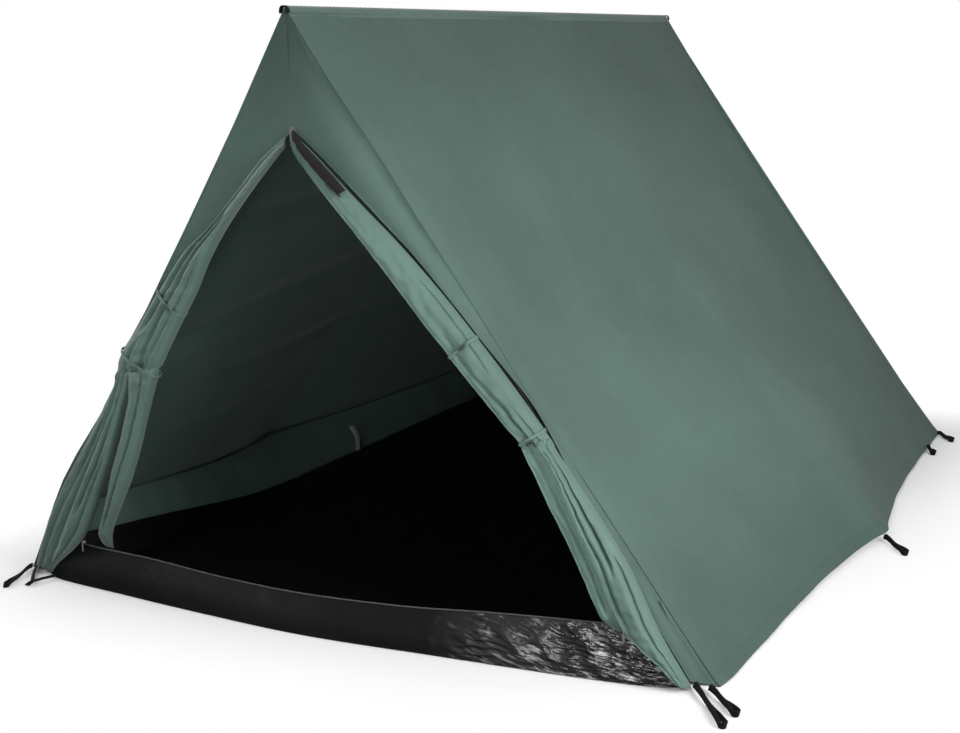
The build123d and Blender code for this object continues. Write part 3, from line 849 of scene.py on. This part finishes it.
TIE_WIDTH = 0.007
TOGGLE_LENGTH, TOGGLE_RADIUS = 0.022, 0.0038
TIES = {  # (lobe grid, its cloth, along the bundle, the way the toggle points)
    "upper_right": (right_upper, flap_right_cloth, (0.66, -0.75), (0.80, 0.60)),
    "lower_right": (right_upper, flap_right_cloth, (0.55, -0.83), (0.83, 0.55)),
    "upper_left": (left_upper, flap_left_cloth, (-0.6, -0.8), (-0.8, 0.6)),
    "lower_left": (left_upper, flap_left_cloth, (-0.45, -0.9), (0.9, 0.1)),
}
for name, (grid, cloth, along, points_to) in TIES.items():
    word = name.split("_")[1]
    side = 1 if word == "right" else -1
    pivot = box_centre(f"tie_toggle_{name}")
    row = int(np.argmin(np.linalg.norm((grid.mean(1) - pivot)[:, ::2], axis=1)))
    row = min(row, len(grid) - 9)  # clear of the bundle's tapered tip
    strap, path = band(f"tie_strap_{name}", grid[row - 3:row + 3], along, TIE_WIDTH, cloth)
    put(strap, f"roll_{word}", "tie_cloth", f"tie_band_{name}", fold=side)
    face = path[path[:, 1] < path[:, 1].mean()]
    nearest = face[np.argmin(np.linalg.norm((face - pivot)[:, ::2], axis=1))]
    place = 0.75 * pivot + 0.25 * nearest
    place[1] = nearest[1] - 0.0050
    turned = barrel(f"tie_toggle_turned_{name}", place, points_to, TOGGLE_LENGTH, TOGGLE_RADIUS, toggle)
    put(turned, f"toggle_{name}", "toggle_plastic", f"tie_toggle_{name}", fold=side)


PEG_EYE = 0.0068  # radius of the strap's bend round a peg


def peg_strap(name, anchor, eye, end=None):
    """A folded webbing strap from the hem round a peg's eye, and back to the hem or on to end."""
    a, e = np.array(anchor), np.array(eye)
    reach = np.linalg.norm(e - a)
    d = (e - a) / reach
    n = np.array([-d[1], d[0]])
    t = np.linspace(0, 1, 14)[:, None]
    out = a + n * 0.0022 + (e + n * PEG_EYE - a - n * 0.0022) * t
    out = out - n * 0.004 * arch(t)
    angle = np.linspace(math.pi / 2, -math.pi / 2, 15)[1:-1]
    arc = e + PEG_EYE * (np.cos(angle)[:, None] * d + np.sin(angle)[:, None] * n)
    home = a - n * 0.0022 if end is None else np.array(end)
    back = home + (e - n * PEG_EYE - home) * t[::-1]
    back = back + n * 0.004 * arch(t[::-1]) * (end is None)
    plan = np.vstack([out, arc, back])
    along = np.clip(((plan - a) @ d) / reach, 0, 1.2)
    height = 0.0062 + 0.004 * (1 - along) + 0.0015 * np.sin(along * 9)
    path = np.column_stack([plan, height])
    flat, upright = (0.3, 0.954) if end is None else (0.8, 0.6)
    tilt = np.array([n[0] * flat, n[1] * flat, upright])
    return ribbon(name, path, tilt, 0.0120, webbing, thick=0.0018, ripple=0.0002)


# From above, (across, along): where a loop starts, its peg's eye and, if it doesn't fold back, where it ends.
LOOPS_BOTH = {
    "middle": ((0.995, -0.034), (1.066, -0.124)),
    "rear_corner": ((0.905, 1.024), (0.958, 0.966)),
    "rear_floor": ((0.910, 0.850), (0.938, 0.798)),
}
LOOPS = {
    1: {
        "front_corner": ((0.905, -1.043), (0.984, -1.121)),
        "front_floor": ((0.874, -1.043), (0.979, -1.177)),
        **LOOPS_BOTH,
    },
    -1: {
        "front_corner": ((0.912, -1.044), (0.871, -1.167)),
        "front_floor": ((0.897, -1.044), (0.824, -1.136), (0.798, -1.062)),
        **LOOPS_BOTH,
    },
}
for side, word in SIDES:
    for name, places in LOOPS[side].items():
        places = [(side * across, along) for across, along in places]
        strap = peg_strap(f"peg_strap_{name}_{word}", *places)
        put(strap, f"loop_{name}_{word}", "webbing", f"peg_loop_{name}_{word}")


def apex_strap(end):
    """The webbing tab over the ridge's end."""
    y = FRONT - 0.004 if end == "front" else REAR + 0.004
    angle = np.linspace(-0.35, math.pi + 0.35, 40)
    path = np.stack([0.0085 * np.cos(angle), 0 * angle + y, HEIGHT - 0.0085 + 0.0115 * np.sin(angle)], -1)
    path[:, 2] = np.maximum(path[:, 2], HEIGHT - 0.018)
    return ribbon(f"apex_strap_{end}", path, (0, 1, 0), 0.013, webbing)


for end in ("front", "rear"):
    put(apex_strap(end), "ridge", "webbing", f"apex_tab_{end}")


def door_zip_tape():
    """Dark zip tape lying along the top of the right flap, and its light edge."""
    outer = resample([(0.010, 1.092), (0.048, 1.058), (0.088, 1.021), (0.120, 0.990), (0.141, 0.968)], 60)
    inner = resample([(0.006, 1.072), (0.036, 1.040), (0.070, 1.003), (0.104, 0.968), (0.128, 0.952)], 60)
    c = np.linspace(0, 1, 12)[None, :]
    x, z = [between(outer, inner, k, c) for k in (0, 1)]
    t = np.linspace(0, 1, 60)[:, None]
    forward = 0.014 + 0.030 * arch(0.15 + 0.8 * c) * step(t, -0.1, 0.3) + 0.0015 * np.sin(t * 40) * c
    points = np.stack([x, FRONT - forward + 0 * x, z], -1)
    edge = points[:, -1] - np.array([0, 0.001, 0])
    coil = cord("door_zip_coil", edge, 0.0014, pale_cord, sides=8)
    return sheet("door_zip_tape", points, zip_tape), coil


for piece in door_zip_tape():
    put(piece, "roll_right", "zip_tape", fold=1)


def plate(name, outline, centre, thick, material):
    """A flat part with softened edges, facing the front, from an outline of (across, up) round centre."""
    cx, cy, cz = centre
    count = len(outline)
    verts = [(cx + u, cy + d, cz + v) for d in (-thick / 2, thick / 2) for u, v in outline]
    faces = [list(range(count)), list(range(2 * count - 1, count - 1, -1))]
    faces += [[(i + 1) % count, i, i + count, (i + 1) % count + count] for i in range(count)]
    mesh = bpy.data.meshes.new(name)
    mesh.from_pydata(verts, [], faces)
    mesh.materials.append(material)
    obj = add_object(name, mesh)
    soft = obj.modifiers.new("soft", "BEVEL")
    soft.width, soft.segments = thick * 0.22, 3
    return obj


def sill_slider(word, slider_node, pull_node):
    """A waisted zip slider with a bridge, and its tapered pull. The left one is parked clear of the flap."""
    shift = np.array([0.050 if word == "left" else 0.0, 0, 0])
    c = box_centre(slider_node) + shift
    angle = np.linspace(0, 2 * math.pi, 28, endpoint=False)
    wide = 0.0042 + 0.0008 * np.cos(2 * angle) + 0.0006 * np.sin(angle)
    outline = np.stack([wide * np.cos(angle), 1.25 * wide * np.sin(angle)], 1)
    body = plate(f"slider_body_{word}", outline, c, 0.0040, zip_metal)
    half_turn = np.linspace(0, math.pi, 16)
    forward, up = 0.0018 + 0.0024 * np.sin(half_turn), 0.0034 * np.cos(half_turn)
    path = np.stack([0 * half_turn + c[0], c[1] - forward, c[2] + up], 1)
    bridge = cord(f"slider_bridge_{word}", path, 0.0008, zip_metal, sides=8)
    low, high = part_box(pull_node)
    half = (high[2] - low[2]) / 2
    share = np.sin(angle)
    across = np.sign(np.cos(angle)) * np.abs(np.cos(angle)) ** 0.5 * (0.0024 - 0.0007 * share)
    outline = np.stack([across, half * share], 1)
    tab = plate(f"slider_tab_{word}", outline, box_centre(pull_node) + shift, 0.0014, zip_metal)
    return body, bridge, tab


for _, word in SIDES:
    slider_node, pull_node = f"sill_slider_{word}", f"sill_puller_{word}"
    body, bridge, tab = sill_slider(word, slider_node, pull_node)
    put(body, f"slider_{word}", "zip_metal", slider_node, fold="floor")
    put(bridge, f"slider_{word}", "zip_metal", slider_node, fold="floor")
    put(tab, f"puller_{word}", "zip_metal", pull_node, fold="floor")


def hanging_tab():
    """The tape loop that hangs at the foot of the left slope."""
    t = np.linspace(0, 1, 24)
    across = -0.746 - 0.016 * t**2 - 0.003 * np.sin(t * 7)
    path = np.stack([across, 0.2 + 0.006 * np.sin(t * 5), 0.008 + 0.082 * t], -1)
    return ribbon("inner_tape", path, (0.12, 0.99, 0), 0.022, pale_tape)


put(hanging_tab(), "left_side", "inner_tape", "inner_tab")


# ---------------- groundsheet and sill

# The sill's foot, (across, behind the door plane), and its top edge, (across, behind the door plane, up).
SILL_LOW = [(-0.850, -0.006), (-0.780, -0.034), (-0.580, -0.052), (-0.310, -0.074), (0.0, -0.088),
            (0.330, -0.068), (0.600, -0.050), (0.780, -0.030), (0.852, -0.006)]
SILL_TOP = [(-0.800, 0.004, 0.100), (-0.686, -0.012, 0.092), (-0.490, -0.022, 0.089),
            (-0.270, -0.032, 0.078), (-0.040, -0.040, 0.075), (0.220, -0.034, 0.082),
            (0.420, -0.026, 0.096), (0.600, -0.018, 0.106), (0.744, -0.006, 0.108), (0.792, 0.006, 0.088)]


def ridged(field):
    """Crisp crests and soft hollows from a soft field."""
    return 0.5 - np.abs(np.clip(field, -1.6, 1.6)) ** 0.8


def sill():
    """The upstand across the doorway, crumpled towards the right corner."""
    count = 620
    low, top = resample(SILL_LOW, count), resample(SILL_TOP, count)
    up = np.linspace(0, 1, 60)[None, :]
    x, lean = [between(low, top, k, up) for k in (0, 1)]
    z = 0.001 + top[:, None, 2] * up
    crush = step(x, 0.42, 0.66) + 0.7 * bump(x, 0.42, 0.06) + 0.06
    drawn = x * 0.45 + up * 0.055
    folds = ridged(waves(drawn, up * 0.10 - x * 0.06, 41, 0.050, stretch=1.6))
    folds = folds + 0.6 * ridged(waves(drawn, up * 0.11, 42, 0.026))
    broad = waves(x, up * 0.11, 43, 0.16, stretch=1.5)
    edges = arch(up) ** 0.5 * step(0.84 - x, 0.0, 0.05)
    relief = (0.0080 * crush * folds + 0.0012 * broad) * edges
    belly = 0.010 * arch(up)
    y = FRONT + lean - belly - relief
    points = np.stack([x, y, z + 0 * x], -1)
    return sheet("sill_film", points, sill_cloth, thick=0.0008)


def sill_piping():
    """The zip tape along the sill's top edge."""
    top = resample(SILL_TOP, 260)[6:-4]
    path = np.stack([top[:, 0], FRONT + top[:, 1] - 0.002, top[:, 2] + 0.002], -1)
    return cord("sill_zip_cord", path, 0.0013, sill_cord, sides=10, flat=1.3)


def floor_film():
    """The groundsheet, turned up along its sides and rear, with its front edge under the sill."""
    u = np.linspace(0, 1, 170)[:, None]
    v = np.linspace(-1, -0.95, 10)[:-1], np.linspace(-0.95, 0.95, 120), np.linspace(0.95, 1, 10)[1:]
    v = np.concatenate(v)[None, :]
    low = resample(SILL_LOW, 200)
    half = 0.751 + 0.058 * bump(u, 0, 0.06) + 0.05 * step(u, 0.96, 1.0)
    turned_up = np.clip((np.abs(v) - 0.95) / 0.05, 0, 1)
    x = np.sign(v) * (half * np.minimum(np.abs(v) / 0.95, 1) + 0.009 * turned_up)
    front = FRONT + np.interp(x[0], low[:, 0], low[:, 1])[None, :] + 0.004
    rear, turn_up = REAR - 0.022, 0.07
    run = (rear + turn_up - front) * u
    flat = rear - front
    y = front + np.minimum(run, flat)
    upright = np.maximum(run - flat, 0)
    rise = np.clip(0.0035 * waves(x, y, 51, 0.28, stretch=1.5) + 0.0025 * waves(x, y, 52, 0.09), 0, 1)
    side_height = 0.002 + 0.086 * (1 - step(u, 0.02, 0.42)) * step(u, 0.004, 0.014)
    z = 0.0012 + rise * step(1 - np.abs(v), 0.05, 0.12) * step(u, 0.0, 0.03)
    z = z + upright + side_height * turned_up
    return sheet("floor_film", np.stack([x, y, z], -1), film, thick=0.0008)


def ground_strip(side, name):
    """The strip of canopy cloth that joins the slope to the floor's edge, taller near the door."""
    u = np.linspace(0, 1, 130)[:, None]
    v = np.linspace(0, 1, 18)[None, :]
    y = FRONT + 0.02 + (REAR - 0.034 - FRONT) * u
    wobble = 0.003 * waves(y, v * 0.2, 61 + side, 0.12, stretch=3)
    height = 0.110 + 0.050 * (1 - step(u, 0.0, 0.40))
    hem = resample(HEM, 241)
    top = np.interp(y, hem[:, 1], hem[:, 0]) * (1 - height / HEIGHT) - 0.015
    foot = 0.769 + 0.066 * bump(u, 0, 0.06)
    x = foot + (top - foot) * v ** (1.3 + 0.9 * bump(u, 0, 0.08)) + wobble * arch(v)
    z = 0.001 + height * v ** 0.9 + 0 * u
    points = np.stack([side * x, y + 0 * x, z + 0 * x], -1)
    return sheet(name, points, canopy_left, flip=side > 0)


put(sill(), "ground", "ground_pe", "door_sill", fold="floor")
put(sill_piping(), "ground", "zip_tape", "sill_zip_tape", fold="floor")
put(floor_film(), "ground", "ground_pe", "groundsheet", fold="floor")
for side, word in SIDES:
    put(ground_strip(side, f"ground_strip_{word}"), "ground", "wall_cloth", fold="floor")


# ---------------- finishes of the hard CAD pieces

def dress(prefixes, material):
    """Gives the CAD nodes whose names start with prefixes their finish."""
    for name, obj in frame["nodes"].items():
        if name.startswith(prefixes):
            obj.data.materials.clear()
            obj.data.materials.append(material)


dress(("leg_upper", "leg_lower", "ridge_pole"), pole)
dress(("leg_eye", "leg_foot"), fitting)
dress(("ridge_spindle",), spindle)
dress(("door_slider", "door_puller"), zip_metal)


# ---------------- stage, light and camera

def stage_floor():
    """A pale floor that fades to plain white away from the tent."""
    mesh = bpy.data.meshes.new("studio_floor")
    corners = [(-1, -1), (1, -1), (1, 1), (-1, 1)]
    mesh.from_pydata([(60 * x, 60 * y, -0.001) for x, y in corners], [], [(0, 1, 2, 3)])
    n = Nodes("studio_floor")
    seen = n.add("ShaderNodeLightPath").outputs["Is Camera Ray"]
    grey = n.mix(seen, rgba(0.22, 0.22, 0.22), rgba(0.95, 0.95, 0.95))
    n.finish(Base_Color=grey, Roughness=0.9, Specular_IOR_Level=0.1)
    place = n.add("ShaderNodeNewGeometry").outputs["Position"]
    beside = n.maths("SUBTRACT", n.maths("ABSOLUTE", n.part(place, 0)), 0.92)
    beyond = n.maths("SUBTRACT", n.maths("ABSOLUTE", n.part(place, 1)), 1.06)
    uneven = n.ramp(n.noise(place, 3.0, 3), 0.0, 1.0, -0.03, 0.03)
    away = n.maths("ADD", n.maths("MAXIMUM", beside, beyond), uneven)
    fade = n.times(n.ramp(away, 0.0, 0.30), seen)
    glow = n.add("ShaderNodeEmission", {"Color": rgba(1, 1, 1), "Strength": 1.0}).outputs[0]
    mixed = n.add("ShaderNodeMixShader", {0: fade, 1: n.shader.outputs[0], 2: glow}).outputs[0]
    n.tree.links.new(mixed, n.tree.nodes["Material Output"].inputs["Surface"])
    mesh.materials.append(n.material)
    add_object("studio_floor", mesh)


def area(name, place, target, size, power, spread=180):
    """A soft lamp at place that faces target, hidden from the camera."""
    light = bpy.data.lights.new(name, "AREA")
    light.shape = "RECTANGLE"
    light.size, light.size_y = size
    light.energy = power
    light.spread = math.radians(spread)
    obj = add_object(name, light)
    obj.location = place
    obj.rotation_euler = (Vector(target) - Vector(place)).to_track_quat("-Z", "Y").to_euler()
    obj.visible_camera = False


def world(strength):
    """Even white light; the background itself is seen as plain white."""
    w = bpy.data.worlds.new("studio")
    w.use_nodes = True
    tree = w.node_tree
    background = tree.nodes["Background"]
    background.inputs["Color"].default_value = (1, 1, 1, 1)
    path = tree.nodes.new("ShaderNodeLightPath")
    level = tree.nodes.new("ShaderNodeMapRange")
    level.inputs["To Min"].default_value = strength
    level.inputs["To Max"].default_value = 1.0
    tree.links.new(path.outputs["Is Camera Ray"], level.inputs["Value"])
    tree.links.new(level.outputs["Result"], background.inputs["Strength"])
    bpy.context.scene.world = w


def camera():
    """Stands at the front right, looking a little down, and held slightly tilted."""
    data = bpy.data.cameras.new("camera")
    data.lens, data.sensor_width = 53.7, 36.0
    obj = add_object("camera", data)
    azimuth, elevation, roll = math.radians(29.6), math.radians(11.8), math.radians(-2.49)
    level = math.cos(elevation)
    forward = Vector((-math.sin(azimuth) * level, math.cos(azimuth) * level, -math.sin(elevation)))
    right = forward.cross(Vector((0, 0, 1))).normalized()
    up = right.cross(forward)
    r = right * math.cos(roll) + up * math.sin(roll)
    u = -right * math.sin(roll) + up * math.cos(roll)
    place = Vector((1.8171, -3.4946, 1.2025))
    obj.matrix_world = Matrix([(r[i], u[i], -forward[i], place[i]) for i in range(3)] + [(0, 0, 0, 1)])
    bpy.context.scene.camera = obj


stage_floor()
world(0.37)
area("key", (3.2, -1.5, 1.5), (0.60, -0.5, 0.50), (1.6, 1.6), 45, spread=110)
area("front", (1.0, -4.5, 2.4), (0, -1.0, 0.7), (2.0, 1.6), 52)
area("low", (0.9, -3.4, 0.2), (-0.30, -0.6, 0.90), (0.9, 0.5), 3.6, spread=60)
area("rear", (-3.2, 3.8, 3.0), (0, 0.6, 0.5), (2.4, 2.0), 60)
area("left", (-4.0, -1.2, 2.4), (0, -0.8, 0.6), (2.4, 2.0), 60)
camera()
bpy.context.scene.view_settings.view_transform = "Standard"
